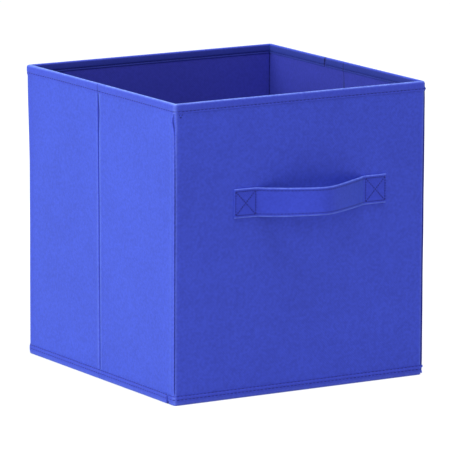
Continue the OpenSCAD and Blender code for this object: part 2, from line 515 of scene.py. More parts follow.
class Finishes:
    """Every finish on the bin, built once."""

    def __init__(self) -> None:
        """Builds the shared effects and then the materials."""
        effects = Effects()
        blue_deep, blue_light = (0.029, 0.046, 0.465, 1.0), (0.043, 0.071, 0.63, 1.0)
        # Pale colour for scuffed folds and for the painted highlight along the rim's top fold and
        # the strap's edges.
        worn_and_painted_light = (0.24, 0.34, 1.0, 1.0)
        self.outer = ClothFinish(
            "royal_blue_cover_cloth", blue_deep, blue_light, worn_and_painted_light).material(effects)
        self.lining = ClothFinish(
            "royal_blue_lining_cloth", (0.032, 0.038, 0.355, 1.0), (0.042, 0.049, 0.45, 1.0), worn_and_painted_light,
            sheen=0.03, gloss=0.2).material(effects)
        self.tape = ClothFinish(
            "royal_blue_edge_tape", (0.031, 0.047, 0.48, 1.0), (0.041, 0.066, 0.59, 1.0), worn_and_painted_light,
            points=700.0, sheen=0.14).material(effects)
        self.strap = ClothFinish(
            "royal_blue_strap_cloth", (0.032, 0.049, 0.49, 1.0), (0.043, 0.068, 0.60, 1.0), worn_and_painted_light,
            points=700.0, sheen=0.09, gloss=0.2).material(effects)
        self.thread = ThreadFinish(
            "royal_blue_thread", (0.010, 0.013, 0.17, 1.0), (0.019, 0.026, 0.29, 1.0)).material()
        self.board = ChipboardFinish().material()


# ---- The ring of walls seen from above -----------------------------------------------------------


class Side(Enum):
    """The four walls, in the order in which the ring passes them."""

    LEFT = 0
    FRONT = 1
    RIGHT = 2
    BACK = 3

    @property
    def out(self) -> Vector:
        """The wall's outward direction."""
        return Vector(((-1, 0, 0), (0, -1, 0), (1, 0, 0), (0, 1, 0))[self.value])

    @property
    def following(self) -> "Side":
        """The wall that comes after this one."""
        return Side((self.value + 1) % 4)

    @property
    def is_folding(self) -> bool:
        """Whether the wall has a crease in its middle."""
        return self in (Side.LEFT, Side.RIGHT)


@dataclass(frozen=True)
class Spot:
    """A position on the ring: along a wall from its middle, or round the corner after it."""

    side: Side
    along: float
    bend: float = 0.0


@dataclass(frozen=True)
class Outline:
    """A square with rounded corners that every layer of the walls follows at its own offset."""

    half_w: float
    half_d: float
    corner: float = 2.2 * MM

    def half(self, side: Side) -> float:
        """Half the length of a wall."""
        return self.half_d if side.is_folding else self.half_w

    def reach(self, side: Side) -> float:
        """The distance of a wall from the middle of the bin."""
        return self.half_w if side.is_folding else self.half_d

    @property
    def arc(self) -> float:
        """The length of one rounded corner."""
        return math.pi / 2 * self.corner

    @property
    def length(self) -> float:
        """The length of the whole ring."""
        return 4 * (self.half_w + self.half_d - 2 * self.corner) + 4 * self.arc

    def on(self, side: Side, along: float) -> float:
        """The ring position of a point on a wall.

        Args:
            side: The wall.
            along: The distance from the wall's middle, in the ring's direction.

        Returns:
            The position.
        """
        before = sum(2 * (self.half(Side(k)) - self.corner) + self.arc for k in range(side.value))
        return before + self.half(side) - self.half_d + along

    def crease_line(self, s: float) -> float:
        """How close a ring position lies to a crease, from 0 to 1 on its line."""
        spot = self.spot(s)
        return hump(spot.along, 0.0, 0.7 * MM) if spot.side.is_folding else 0.0

    def corner_after(self, side: Side) -> float:
        """The ring position of the middle of the corner after a wall."""
        return self.on(side, self.half(side) - self.corner) + self.arc / 2

    @cache
    def spot(self, s: float) -> Spot:
        """Where a ring position lies.

        Args:
            s: The position, which may run over the ring's start.

        Returns:
            The wall and the place on it.
        """
        rest = (s + self.half_d - self.corner) % self.length
        for side in Side:
            straight = 2 * (self.half(side) - self.corner)
            if rest <= straight:
                return Spot(side, rest - straight / 2)
            rest -= straight
            if rest <= self.arc:
                return Spot(side, straight / 2, rest / self.corner)
            rest -= self.arc
        return Spot(Side.LEFT, -self.half_d + self.corner)

    def at(self, s: float, out: float) -> Vector:
        """The point of the ring at a distance outside the nominal face.

        Args:
            s: The ring position.
            out: The offset, negative inside.

        Returns:
            The point, at height 0.
        """
        spot = self.spot(s)
        radius = max(self.corner + out, 0.6 * MM)
        face, run = spot.side.out, spot.side.following.out
        end = self.half(spot.side) + out - radius
        if spot.bend == 0.0:
            share = spot.along / (self.half(spot.side) - self.corner)
            return face * (self.reach(spot.side) + out) + run * (share * end)
        centre = face * (self.reach(spot.side) + out - radius) + run * end
        return centre + radius * (face * math.cos(spot.bend) + run * math.sin(spot.bend))

    @cache
    def edge(self, s: float) -> tuple[Side, float, Side]:
        """The nearest corner.

        Args:
            s: The ring position.

        Returns:
            The wall that the position belongs to, its distance from the corner, and the wall
            before that corner.
        """
        spot = self.spot(s)
        if spot.bend == 0.0:
            before = spot.side if spot.along > 0 else Side((spot.side.value + 3) % 4)
            return spot.side, self.half(spot.side) - abs(spot.along), before
        half_turn = math.pi / 4
        if spot.bend <= half_turn:
            return spot.side, self.corner * (1 - spot.bend / half_turn), spot.side
        return spot.side.following, self.corner * (spot.bend / half_turn - 1), spot.side


@dataclass(frozen=True)
class Stretch:
    """A part of the ring that rides on one wall, or spans the corner or crease between two of them.
    """

    name: str
    start: float
    end: float
    body: str
    other: str = ""
    turn_from: float = 0.0
    turn_to: float = 0.0
    inner_trim: float = 0.0

    def hold(self, piece: bpy.types.Object) -> None:
        """Parents a piece of this stretch to its wall, or, where the stretch spans two walls, bakes
        the piece's placement into its mesh.
        """
        if self.other:
            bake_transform(piece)
        else:
            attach(piece, self.body)

    def trimmed(self, s: float, out: float) -> float:
        """Pulls the inner layers back from the stretch's end, where a folding wall needs room.

        Args:
            s: The ring position.
            out: The layer's offset.

        Returns:
            The position to use.
        """
        if not self.inner_trim:
            return s
        near = smooth(self.end - 8 * MM, self.end, s)
        return s - self.inner_trim * near * smooth(-1.0 * MM, -2.2 * MM, out)


class Ring:
    """The walls' outline and its stretches, worked out from the frame."""

    crease_reach = 8 * MM
    crease_turn = 5 * MM
    side_reach = 16 * MM
    end_reach = 10 * MM

    def __init__(self) -> None:
        """Reads the walls' size and the fold axes."""
        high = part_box("back_cover")[1]
        self.outline = Outline(high.x, high.y)
        self.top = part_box("back_rim")[1].z
        self.rim_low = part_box("back_rim")[0].z
        self.binding_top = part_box("bottom_binding")[1].z
        self.wall_t = high.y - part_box("back_lining")[0].y
        self.lining_t = self.wall_t - (high.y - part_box("back_lining")[1].y)
        self.cover_t = high.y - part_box("back_board")[1].y
        self.tape_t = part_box("back_rim")[1].y - high.y
        self.hinge = joint_place("fold")
        self.stretches = self._cut()

    def _cut(self) -> list[Stretch]:
        """Cuts the ring at the folds.

        Returns:
            The stretches in order.
        """
        on, half_w, half_d = self.outline.on, self.outline.half_w, self.outline.half_d
        side_end, face_end = half_d - self.side_reach, half_w - self.end_reach
        open_end = on(Side.RIGHT, -self.hinge.y)
        outer, inner = self.hinge.y + 2.7 * MM, self.hinge.y - 2.0 * MM
        crease, turn, whole = self.crease_reach, self.crease_turn, self.outline.length
        return [
            Stretch("left_front", crease, on(Side.LEFT, side_end), "left_front_wall"),
            Stretch("front_left_corner", on(Side.LEFT, side_end), on(Side.FRONT, -face_end),
                    "front_wall", "left_front_wall", -outer, -inner),
            Stretch("front", on(Side.FRONT, -face_end), open_end, "front_wall",
                    inner_trim=2.7 * MM),
            Stretch("right_front", open_end, on(Side.RIGHT, -crease), "right_front_wall"),
            Stretch("right_crease", on(Side.RIGHT, -crease), on(Side.RIGHT, crease),
                    "right_rear_wall", "right_front_wall", turn, -turn),
            Stretch("right_rear", on(Side.RIGHT, crease), on(Side.RIGHT, side_end),
                    "right_rear_wall"),
            Stretch("rear_right_corner", on(Side.RIGHT, side_end), on(Side.BACK, -face_end),
                    "back_wall", "right_rear_wall", outer, inner),
            Stretch("back", on(Side.BACK, -face_end), on(Side.BACK, face_end), "back_wall"),
            Stretch("rear_left_corner", on(Side.BACK, face_end), whole - side_end,
                    "back_wall", "left_rear_wall", outer, inner),
            Stretch("left_rear", whole - side_end, whole - crease, "left_rear_wall"),
            Stretch("left_crease", whole - crease, whole + crease,
                    "left_rear_wall", "left_front_wall", turn, -turn),
        ]

    def along(self, stretch: Stretch, step: float = 4 * MM,
              extra: Iterable[tuple] = ()) -> list[float]:
        """Grid positions along a stretch, close together at corners, creases and laps.

        Args:
            stretch: The stretch.
            step: The widest spacing.
            extra: More windows of finer spacing.

        Returns:
            The positions.
        """
        windows = list(extra)
        for side in Side:
            middle = self.outline.corner_after(side)
            windows.append((middle - 9 * MM, middle + 9 * MM, 0.5 * MM))
            windows.append((middle - 20 * MM, middle + 20 * MM, 2 * MM))
        for middle in (0.0, self.outline.on(Side.RIGHT, 0), self.outline.length):
            windows.append((middle - 3 * MM, middle + 3 * MM, 0.4 * MM))
            windows.append((middle - 8 * MM, middle + 8 * MM, 1.2 * MM))
        return stations(stretch.start, stretch.end, step, windows)

    def node_of(self, stretch: Stretch, layer: str) -> str | None:
        """The CAD solid that a layer of a stretch stands for, if there is one.

        Args:
            stretch: The stretch.
            layer: The solid's last word, cover, lining or rim.

        Returns:
            The node's name or None.
        """
        if not stretch.other:
            return f"{stretch.name}_{layer}"
        return f"{stretch.name}_seam" if layer == "cover" else None


@dataclass(frozen=True)
class WallShape:
    """How the cloth of the walls stands off its flat faces: rolls, seams, creases and ripples."""

    ring: Ring
    ripple: float = 0.3 * MM
    ripple_size: float = 48 * MM
    pucker: float = 0.14 * MM
    flare: float = 0.6 * MM
    seam_at: float = 0.5 * MM
    seam_depth: float = 1.05 * MM
    roll: float = 0.35 * MM
    crease_depth: float = 1.45 * MM
    crease_width: float = 0.85 * MM
    crease_lean: float = 4.5 * MM
    wander: float = 2.8 * MM
    tuck_below: float = 11 * MM
    open_below: float = 17 * MM

    def _calm(self, z: float) -> float:
        """How much of the relief is left at a height, less where a tape binds the cloth."""
        rim = smooth(self.ring.rim_low - 4 * MM, self.ring.rim_low + 1 * MM, z)
        low = smooth(self.ring.binding_top + 4 * MM, self.ring.binding_top - 1 * MM, z)
        return 1 - 0.7 * max(rim, low)

    def drift(self, s: float, z: float) -> float:
        """How far the seams and creases wander sideways at a height.

        Args:
            s: The ring position.
            z: The height.

        Returns:
            The shift along the ring.
        """
        outline = self.ring.outline
        spot = outline.spot(s)
        shift = 0.0
        if spot.side is Side.LEFT and spot.bend == 0.0:
            near = max(0.0, 1 - abs(spot.along) / self.ring.crease_reach)
            shift -= self.crease_lean * near * z / self.ring.top
        side, edge, before = outline.edge(s)
        if side is Side.LEFT and before is Side.LEFT:
            near = hump(edge, self.seam_at, 1.1 * MM, 4 * MM)
            shift -= self.wander * near * hump(z, self.ring.rim_low - 7 * MM, 6.5 * MM)
        return shift

    def _corner(self, s: float, z: float) -> float:
        """The relief near the corners."""
        side, edge, before = self.ring.outline.edge(s)
        tuck = 1 + 0.6 * hump(z, self.ring.rim_low - self.tuck_below, 7 * MM)
        reach = edge if side.is_folding else -edge
        groove = self.seam_depth * tuck * hump(reach, self.seam_at, 0.75 * MM)
        if side.is_folding:
            return self.roll * hump(edge, 4.4 * MM, 1.6 * MM, 3.4 * MM) - groove
        if side is Side.FRONT and before is Side.FRONT:
            return -0.3 * MM * hump(edge, 6.2 * MM, 1.9 * MM, 2.6 * MM) - groove
        dip = 0.5 * MM * smooth(0.0, 1.0 * MM, edge) * (1 - smooth(1.0 * MM, 6.5 * MM, edge))
        return -dip - groove

    def _crease(self, s: float, z: float, depth: float) -> float:
        """The relief along the creases of the folding walls."""
        spot = self.ring.outline.spot(s)
        if not spot.side.is_folding or abs(spot.along) > 12 * MM:
            return 0.0
        opened = hump(z, self.ring.rim_low - self.open_below, 12 * MM, 8 * MM)
        width = self.crease_width * (1 + 1.0 * opened)
        valley = depth * (1 + 0.25 * opened) * hump(spot.along, 0.0, width)
        return 0.14 * MM * hump(abs(spot.along), 2.6 * MM, 1.2 * MM, 2.4 * MM) - valley

    def _ripples(self, s: float, z: float, seed: float) -> float:
        """Shallow waves in the cloth, and puckers under the rim."""
        place = self.ring.outline.at(s, 0.0)
        place.z = z
        place += Vector((seed, seed, 0))
        wave = 0.5 + 0.5 * noise.noise(place / self.ripple_size)
        close = smooth(self.ring.rim_low - 24 * MM, self.ring.rim_low, z)
        return self.ripple * wave + self.pucker * close * noise.noise(place / (11 * MM))

    def outer(self, s: float, z: float) -> float:
        """How far the outer cloth stands out at a position.

        Args:
            s: The ring position.
            z: The height.

        Returns:
            The distance.
        """
        relief = self._corner(s, z) + self._crease(s, z, self.crease_depth)
        _, edge, before = self.ring.outline.edge(s)
        near, most = (34 * MM, 2.1 * MM) if before is Side.BACK else (45 * MM, self.flare)
        flare = most * hump(edge, 0.0, near) * smooth(0.62 * self.ring.top, self.ring.top, z)
        return (relief + self._ripples(s, z, 0.0)) * self._calm(z) + flare

    def inner(self, s: float, z: float) -> float:
        """How far the lining stands into the bin at a position.

        Args:
            s: The ring position.
            z: The height.

        Returns:
            The distance.
        """
        relief = self._crease(s, z, 0.75 * MM) + 0.7 * self._ripples(s, z, 1.7)
        slit = 0.9 * MM * hump(self.ring.outline.edge(s)[1], 0.0, 0.9 * MM)
        return relief * self._calm(z) - slit

    def point(self, stretch: Stretch, s: float, z: float, out: float) -> Vector:
        """A point of the walls.

        Args:
            stretch: The stretch that it belongs to.
            s: The ring position.
            z: The height.
            out: The offset from the nominal face.

        Returns:
            The point.
        """
        place = self.ring.outline.at(stretch.trimmed(s, out) + self.drift(s, z), out)
        place.z = z
        return place


# ---- Stitching -----------------------------------------------------------------------------------


class Threads:
    """Visible stitches, gathered into one piece."""

    pitch = 4.0 * MM
    stitch = 2.6 * MM
    width = 0.42 * MM
    height = 0.26 * MM

    def __init__(self) -> None:
        """Starts with nothing sewn, and one stitch to copy."""
        self.bm = bmesh.new()
        self.one = bpy.data.meshes.new("one_stitch")
        bead = bmesh.new()
        bmesh.ops.create_uvsphere(bead, u_segments=6, v_segments=4, radius=1.0)
        bead.to_mesh(self.one)
        bead.free()

    def sew(self, place: Place, start: tuple, end: tuple, pitch: float | None = None,
            bold: float = 1.0) -> None:
        """Sews a straight line of stitches on a surface.

        Args:
            place: Gives the surface's point at two positions, with its good side outwards.
            start: The positions where the line starts.
            end: The positions where the line ends.
            pitch: The distance from stitch to stitch, if not the usual one.
            bold: The width of the stitches, as a share of the usual one.
        """
        first, last = Vector(start), Vector(end)
        pitch = pitch or self.pitch
        count = max(1, round((last - first).length / pitch))
        way = (last - first).normalized()
        half = way * self.stitch * pitch / self.pitch / 2
        step = 0.1 * MM
        for index in range(count):
            middle = first.lerp(last, (index + 0.5) / count)
            centre = place(*middle)
            along = place(*(middle + half)) - place(*(middle - half))
            across_u = place(middle.x + step, middle.y) - place(middle.x - step, middle.y)
            across_v = place(middle.x, middle.y + step) - place(middle.x, middle.y - step)
            up = across_u.cross(across_v).normalized()
            self._stitch(centre + up * 0.04 * MM, along, up, bold)

    def sew_round(self, place: Place, corners: list[tuple], **style: float) -> None:
        """Sews a closed outline, in the style that sew takes."""
        for first, second in zip(corners, corners[1:] + corners[:1]):
            self.sew(place, first, second, **style)

    def _stitch(self, centre: Vector, along: Vector, up: Vector, bold: float) -> None:
        """Adds one stitch.

        Args:
            centre: Its middle.
            along: Its direction and length.
            up: The surface's outward direction.
            bold: The share of the usual width.
        """
        aim = along.normalized()
        up = (up - aim * up.dot(aim)).normalized()
        side = up.cross(aim)
        axes = Matrix(
            (side * self.width * bold, up * self.height, aim * along.length / 2)).transposed()
        place = Matrix.Translation(centre) @ axes.to_4x4()
        self.one.transform(place)
        self.bm.from_mesh(self.one)
        self.one.transform(place.inverted())

    def piece(self, name: str, material: bpy.types.Material) -> bpy.types.Object:
        """Makes the gathered stitches an object.

        Args:
            name: The piece's name.
            material: The thread's finish.

        Returns:
            The piece.
        """
        keep_rest(self.bm)
        bpy.data.meshes.remove(self.one)
        made = finish_mesh(self.bm, name, material)
        return made


# ---- Walls ---------------------------------------------------------------------------------------


class Walls:
    """The outer cloth and the lining, one piece for each stretch of the ring."""

    lowest = 3 * MM
    below_top = 4 * MM

    def __init__(self, ring: Ring, shape: WallShape, finishes: Finishes) -> None:
        """Keeps what the pieces are built from."""
        self.ring, self.shape, self.finishes = ring, shape, finishes
        self.high = ring.top - self.below_top

    def _heights(self) -> list[float]:
        """Grid heights, closer together under the rim and above the binding."""
        under_rim = self.ring.rim_low - 34 * MM
        above_binding = self.ring.binding_top + 8 * MM
        return stations(self.lowest, self.high, 5 * MM,
                        [(under_rim, self.high, 1.6 * MM), (self.lowest, above_binding, 2 * MM)])

    def outer_place(self, stretch: Stretch) -> Place:
        """The outer cloth's good side on a stretch, by ring position and height."""
        return lambda s, z: self.shape.point(stretch, s, z, self.shape.outer(s, z))

    def lining_place(self, stretch: Stretch) -> Place:
        """The lining's good side on a stretch, by ring position and depth below the top."""
        def place(s: float, down: float) -> Vector:
            """The lining's point at a ring position and a depth below its upper edge."""
            z = self.high - down
            return self.shape.point(stretch, s, z, -self.ring.wall_t - self.shape.inner(s, z))
        return place

    def _wear_and_painted_light(self, s: float, z: float) -> float:
        """How scuffed the outer cloth is along the corners and the creases' lips, less painted
        shade in the creases and the corners' seams.
        """
        _, edge, _ = self.ring.outline.edge(s)
        spot = self.ring.outline.spot(s)
        lips = hump(abs(spot.along), 2.1 * MM, 1.2 * MM) if spot.side.is_folding else 0.0
        lightened = 0.3 * hump(edge, 0.6 * MM, 1.6 * MM) + 0.2 * lips
        # Painted shade darkens the creases and the corners' seams.
        return lightened - self._painted_groove_shade(s, z)

    def _painted_groove_shade(self, s: float, z: float) -> float:
        """How much painted shade darkens a position in a crease or a corner's seam, from 0 to about
        1.
        """
        spot = self.ring.outline.spot(s)
        side, edge, _ = self.ring.outline.edge(s)
        tuck = hump(z, self.ring.rim_low - self.shape.tuck_below, 8 * MM)
        reach = edge if side.is_folding else -edge
        seam = (0.5 + 0.6 * tuck) * hump(reach, self.shape.seam_at, (0.5 + 0.3 * tuck) * MM)
        if not spot.side.is_folding:
            return seam
        opened = hump(z, self.ring.rim_low - self.shape.open_below, 14 * MM, 9 * MM)
        slit = (0.75 + 0.4 * opened) * hump(spot.along, 0.0, (0.5 + 0.5 * opened) * MM)
        return max(seam, slit)

    def _lining_painted_shade(self, s: float, down: float) -> float:
        """Painted shade on the lining in the inner corners and along the creases, as values below
        0.
        """
        slit = self.ring.outline.crease_line(s)
        return -0.75 * hump(self.ring.outline.edge(s)[1], 0.0, 0.7 * MM) - 0.5 * slit

    def build(self) -> None:
        """Builds and places every piece of outer cloth and lining."""
        heights = self._heights()
        downs = [self.high - z for z in reversed(heights)]
        for stretch in self.ring.stretches:
            marks = self.ring.along(stretch)
            outer = cloth_patch(
                f"{stretch.name}_outer_cloth", marks, heights, self.outer_place(stretch),
                self.ring.cover_t, self.finishes.outer, self._wear_and_painted_light)
            lining = cloth_patch(
                f"{stretch.name}_inner_cloth", marks, downs, self.lining_place(stretch),
                self.ring.lining_t, self.finishes.lining, self._lining_painted_shade)
            for piece, layer, slot in ((outer, "cover", "cover_cloth"),
                                       (lining, "lining", "lining_cloth")):
                stretch.hold(piece)
                node = self.ring.node_of(stretch, layer)
                if node:
                    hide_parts(node)
            log.info("wall stretch %s: outer cloth and lining", stretch.name)


class Tape:
    """A tape folded over an edge of the walls, sewn through near its free edges."""

    def __init__(self, ring: Ring, shape: WallShape, finishes: Finishes) -> None:
        """Keeps what the pieces are built from."""
        self.ring, self.shape, self.finishes = ring, shape, finishes
        self.out = ring.tape_t
        self.inside = -ring.wall_t - ring.tape_t
        self.middle = (self.out + self.inside) / 2

    def _sided(self, s: float, z: float, out: float, extra: float) -> float:
        """Adds the walls' relief and the tape's own to an offset, on the side that it lies on.

        Args:
            s: The ring position.
            z: The height.
            out: The tape's nominal offset.
            extra: The tape's own relief, away from the wall.

        Returns:
            The offset.
        """
        share = (out - self.middle) / (self.out - self.middle)
        lift = self.shape.outer(s, z) + extra if share > 0 else self.shape.inner(s, z) + extra
        return out + share * lift

    @staticmethod
    def _tucked(near: float) -> float:
        """How far the tape's turned-in free edge drops, at a distance from that edge."""
        return 0.28 * MM * max(0.0, 1 - near / (0.7 * MM))

    def _near(self, q: float) -> float:
        """The distance of a position across the tape from its nearer free edge."""
        return min(q, self.across - q)

    def _lay(self, word: str, qs: list[float], fine: tuple, node_of: Callable) -> None:
        """Builds and places the tape's piece on every stretch.

        Args:
            word: The tape's word in the pieces' names.
            qs: Grid positions across the tape.
            fine: The window of finer spacing at the lap.
            node_of: Gives the CAD solid that a stretch's piece stands for, or None.
        """
        for stretch in self.ring.stretches:
            marks = self.ring.along(stretch, 3 * MM, [fine])
            piece = cloth_patch(
                f"{stretch.name}_{word}_tape", marks, qs, self.place(stretch),
                self.ring.tape_t, self.finishes.tape, self._wear_and_painted_light)
            stretch.hold(piece)
            node = node_of(stretch)
            if node:
                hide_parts(node)
            log.info("%s tape on %s", word, stretch.name)


class RimTape(Tape):
    """The tape over the rim: up the outside, over the top in a round fold and down the inside."""

    sewn_at = 1.8 * MM
    groove = 0.4 * MM
    lap_along = 33 * MM

    @property
    def fold_r(self) -> float:
        """The radius of the fold over the top."""
        return (self.out - self.inside) / 2

    @property
    def leg(self) -> float:
        """The height of the tape's straight part."""
        return self.ring.top - self.fold_r - self.ring.rim_low

    @property
    def across(self) -> float:
        """The tape's whole width, from edge to edge."""
        return 2 * self.leg + math.pi * self.fold_r

    def _past_lap(self, s: float) -> float:
        """How far a ring position lies past the tape's end."""
        return s - self.ring.outline.on(Side.RIGHT, self.lap_along)

    def _lap(self, s: float) -> float:
        """The step and the gap where the tape's end lies over its start."""
        d = self._past_lap(s)
        if not -2 * MM < d < 16 * MM:
            return 0.0
        step = 0.35 * MM * smooth(-0.3 * MM, 0.3 * MM, d) * smooth(15 * MM, 9 * MM, d)
        return step - 0.95 * MM * hump(d, -0.7 * MM, 0.6 * MM)

    def _relief(self, s: float, q: float) -> float:
        """The tape's own relief: stitched grooves, tucked edges, small puckers and the lap."""
        near = self._near(q)
        ends = self._tucked(near)
        puff = 0.12 * MM * hump(near, 4.6 * MM, 2.2 * MM)
        wave = 0.12 * MM * noise.noise(Vector((s / (9 * MM), near / (6 * MM), 4.0)))
        return puff + wave + self._lap(s) - ends - self.groove * hump(near, self.sewn_at, 0.6 * MM)

    def place(self, stretch: Stretch) -> Place:
        """The tape's good side on a stretch, by ring position and distance from its outer edge."""
        def at(s: float, q: float) -> Vector:
            """The tape's point at a ring position and a distance across it."""
            turn = min(math.pi, max(0.0, (q - self.leg) / self.fold_r))
            straight = q if q < self.leg else max(self.leg, q - math.pi * self.fold_r)
            drop = straight if q < self.leg else 2 * self.leg - straight
            z = self.ring.rim_low + min(self.leg, drop) + self.fold_r * math.sin(turn)
            out = self.middle + self.fold_r * math.cos(turn)
            lift = self._sided(s, z, out, self._relief(s, q))
            return self.shape.point(stretch, s, z, lift)
        return at

    def _wear_and_painted_light(self, s: float, q: float) -> float:
        """Lighter with a painted highlight along the top fold, with some scuffing there and at the
        corners; darker with painted shade in the lap's gap, along the stitched rows, on the inner
        side and where a crease crosses.
        """
        _, edge, _ = self.ring.outline.edge(s)
        # Painted highlight along the top fold, with some scuffing there.
        top = hump(q, self.across / 2 - 0.5 * MM, 1.2 * MM)
        lap = self._past_lap(s)
        row = hump(self._near(q), self.sewn_at, 0.5 * MM)
        inside = smooth(self.across / 2 + 1 * MM, self.across / 2 + 3 * MM, q)
        folded = self.ring.outline.crease_line(s)
        # Painted shade in the lap's gap, along the stitched rows, on the tape's inner side inside
        # the bin, and where a crease crosses the rim.
        deep = 1.2 * hump(lap, -0.7 * MM, 0.9 * MM) + 0.12 * row + 0.58 * inside + 0.4 * folded
        return min(1.0, 0.95 * top + 0.3 * hump(edge, 0.0, 2.0 * MM)) - deep

    def build(self) -> None:
        """Builds and places every piece of the rim tape."""
        edges = [(0, 3.2 * MM, 0.35 * MM), (self.across - 3.2 * MM, self.across, 0.35 * MM),
                 (self.leg - 1 * MM, self.across - self.leg + 1 * MM, 0.5 * MM)]
        qs = stations(0.0, self.across, 1.2 * MM, edges)
        lap = self.ring.outline.on(Side.RIGHT, self.lap_along)
        self._lay("rim", qs, (lap - 2 * MM, lap + 2 * MM, 0.3 * MM),
                  lambda stretch: self.ring.node_of(stretch, "rim"))


class BottomBinding(Tape):
    """The tape that binds the bottom edge: down the inside, under and up the outside."""

    sewn_at = 0.9 * MM
    second_at = 4.1 * MM
    groove = 0.4 * MM
    fold_r = 1.6 * MM
    lap_before_corner = 12.5 * MM
    lap_bow = 1.1 * MM

    @property
    def leg(self) -> float:
        """The height of the tape's straight part."""
        return self.ring.binding_top - self.fold_r

    @property
    def under(self) -> float:
        """The width of the flat part below the wall."""
        return self.out - self.inside - 2 * self.fold_r

    @property
    def across(self) -> float:
        """The tape's whole width, from edge to edge."""
        return 2 * self.leg + math.pi * self.fold_r + self.under

    def _past_lap(self, s: float, up: float) -> float:
        """How far a ring position lies past the tape's curved end, at a distance up the tape."""
        bow = self.lap_bow * math.sin(math.pi * min(1.0, up / self.ring.binding_top))
        return s - self.ring.outline.corner_after(Side.LEFT) + self.lap_before_corner - bow

    def _lap(self, s: float, z: float) -> float:
        """The curved gap and the step where the tape's end lies over its start."""
        d = self._past_lap(s, z)
        if not -16 * MM < d < 3 * MM:
            return 0.0
        step = 0.4 * MM * smooth(0.2 * MM, -0.3 * MM, d) * smooth(-15 * MM, -7 * MM, d)
        return step - 1.3 * MM * hump(d, 1.0 * MM, 1.1 * MM)

    def _relief(self, s: float, q: float, z: float) -> float:
        """The tape's own relief: stitched grooves, tucked edges, soft folds and the lap."""
        near = self._near(q)
        ends = self._tucked(near)
        doubled = 0.8 if self.ring.outline.edge(s)[0].is_folding else 0.5
        seams = hump(near, self.sewn_at, 0.5 * MM) + doubled * hump(near, self.second_at, 0.6 * MM)
        wave = 0.16 * MM * noise.noise(Vector((s / (16 * MM), near / (3.5 * MM), 9.0)))
        roof = 0.3 * MM * smooth(0.0, 4 * MM, near) - 0.45 * MM * smooth(4 * MM, self.leg, near)
        return roof + wave + self._lap(s, z) - ends - self.groove * seams

    def place(self, stretch: Stretch) -> Place:
        """The tape's good side on a stretch, by ring position and distance from its inner edge."""
        quarter = math.pi / 2 * self.fold_r
        marks = (self.leg, self.leg + quarter, self.leg + quarter + self.under,
                 self.leg + 2 * quarter + self.under)

        def at(s: float, q: float) -> Vector:
            """The tape's point at a ring position and a distance across it."""
            first = min(math.pi / 2, max(0.0, (q - marks[0]) / self.fold_r))
            second = min(math.pi / 2, max(0.0, (q - marks[2]) / self.fold_r))
            flat = min(self.under, max(0.0, q - marks[1]))
            out = (self.inside + self.fold_r * (1 - math.cos(first)) + flat
                   + self.fold_r * math.sin(second))
            z = (self.ring.binding_top - min(q, self.leg) - self.fold_r * math.sin(first)
                 + self.fold_r * (1 - math.cos(second)) + max(0.0, q - marks[3]))
            return self.shape.point(stretch, s, z, self._sided(s, z, out, self._relief(s, q, z)))
        return at

    def _wear_and_painted_light(self, s: float, q: float) -> float:
        """Lighter with scuffing along its lower outside edge and at the corners; darker with
        painted shade in the lap's gap and along the stitched rows.
        """
        low = hump(q, self.across - self.leg, 1.6 * MM)
        near = self._near(q)
        rows = hump(near, self.sewn_at, 0.5 * MM) + 0.4 * hump(near, self.second_at, 0.5 * MM)
        lap = self._past_lap(s, near)
        # Painted shade in the lap's gap and along the stitched rows.
        deep = 1.4 * hump(lap, 1.0 * MM, 1.0 * MM) + 0.34 * rows
        return 0.15 * low + 0.3 * hump(self.ring.outline.edge(s)[1], 0.0, 2.0 * MM) - deep

    def build(self) -> None:
        """Builds and places every piece of the bottom binding."""
        edges = [(0, 2.0 * MM, 0.5 * MM), (self.leg - 0.5 * MM, self.leg + 5 * MM, 0.45 * MM),
                 (self.across - 5.8 * MM, self.across, 0.38 * MM)]
        qs = stations(0.0, self.across, 1.4 * MM, edges)
        lap = self.ring.outline.corner_after(Side.LEFT) - self.lap_before_corner
        self._lay("bottom", qs, (lap - 2 * MM, lap + 4 * MM, 0.35 * MM),
                  lambda stretch: "bottom_binding")


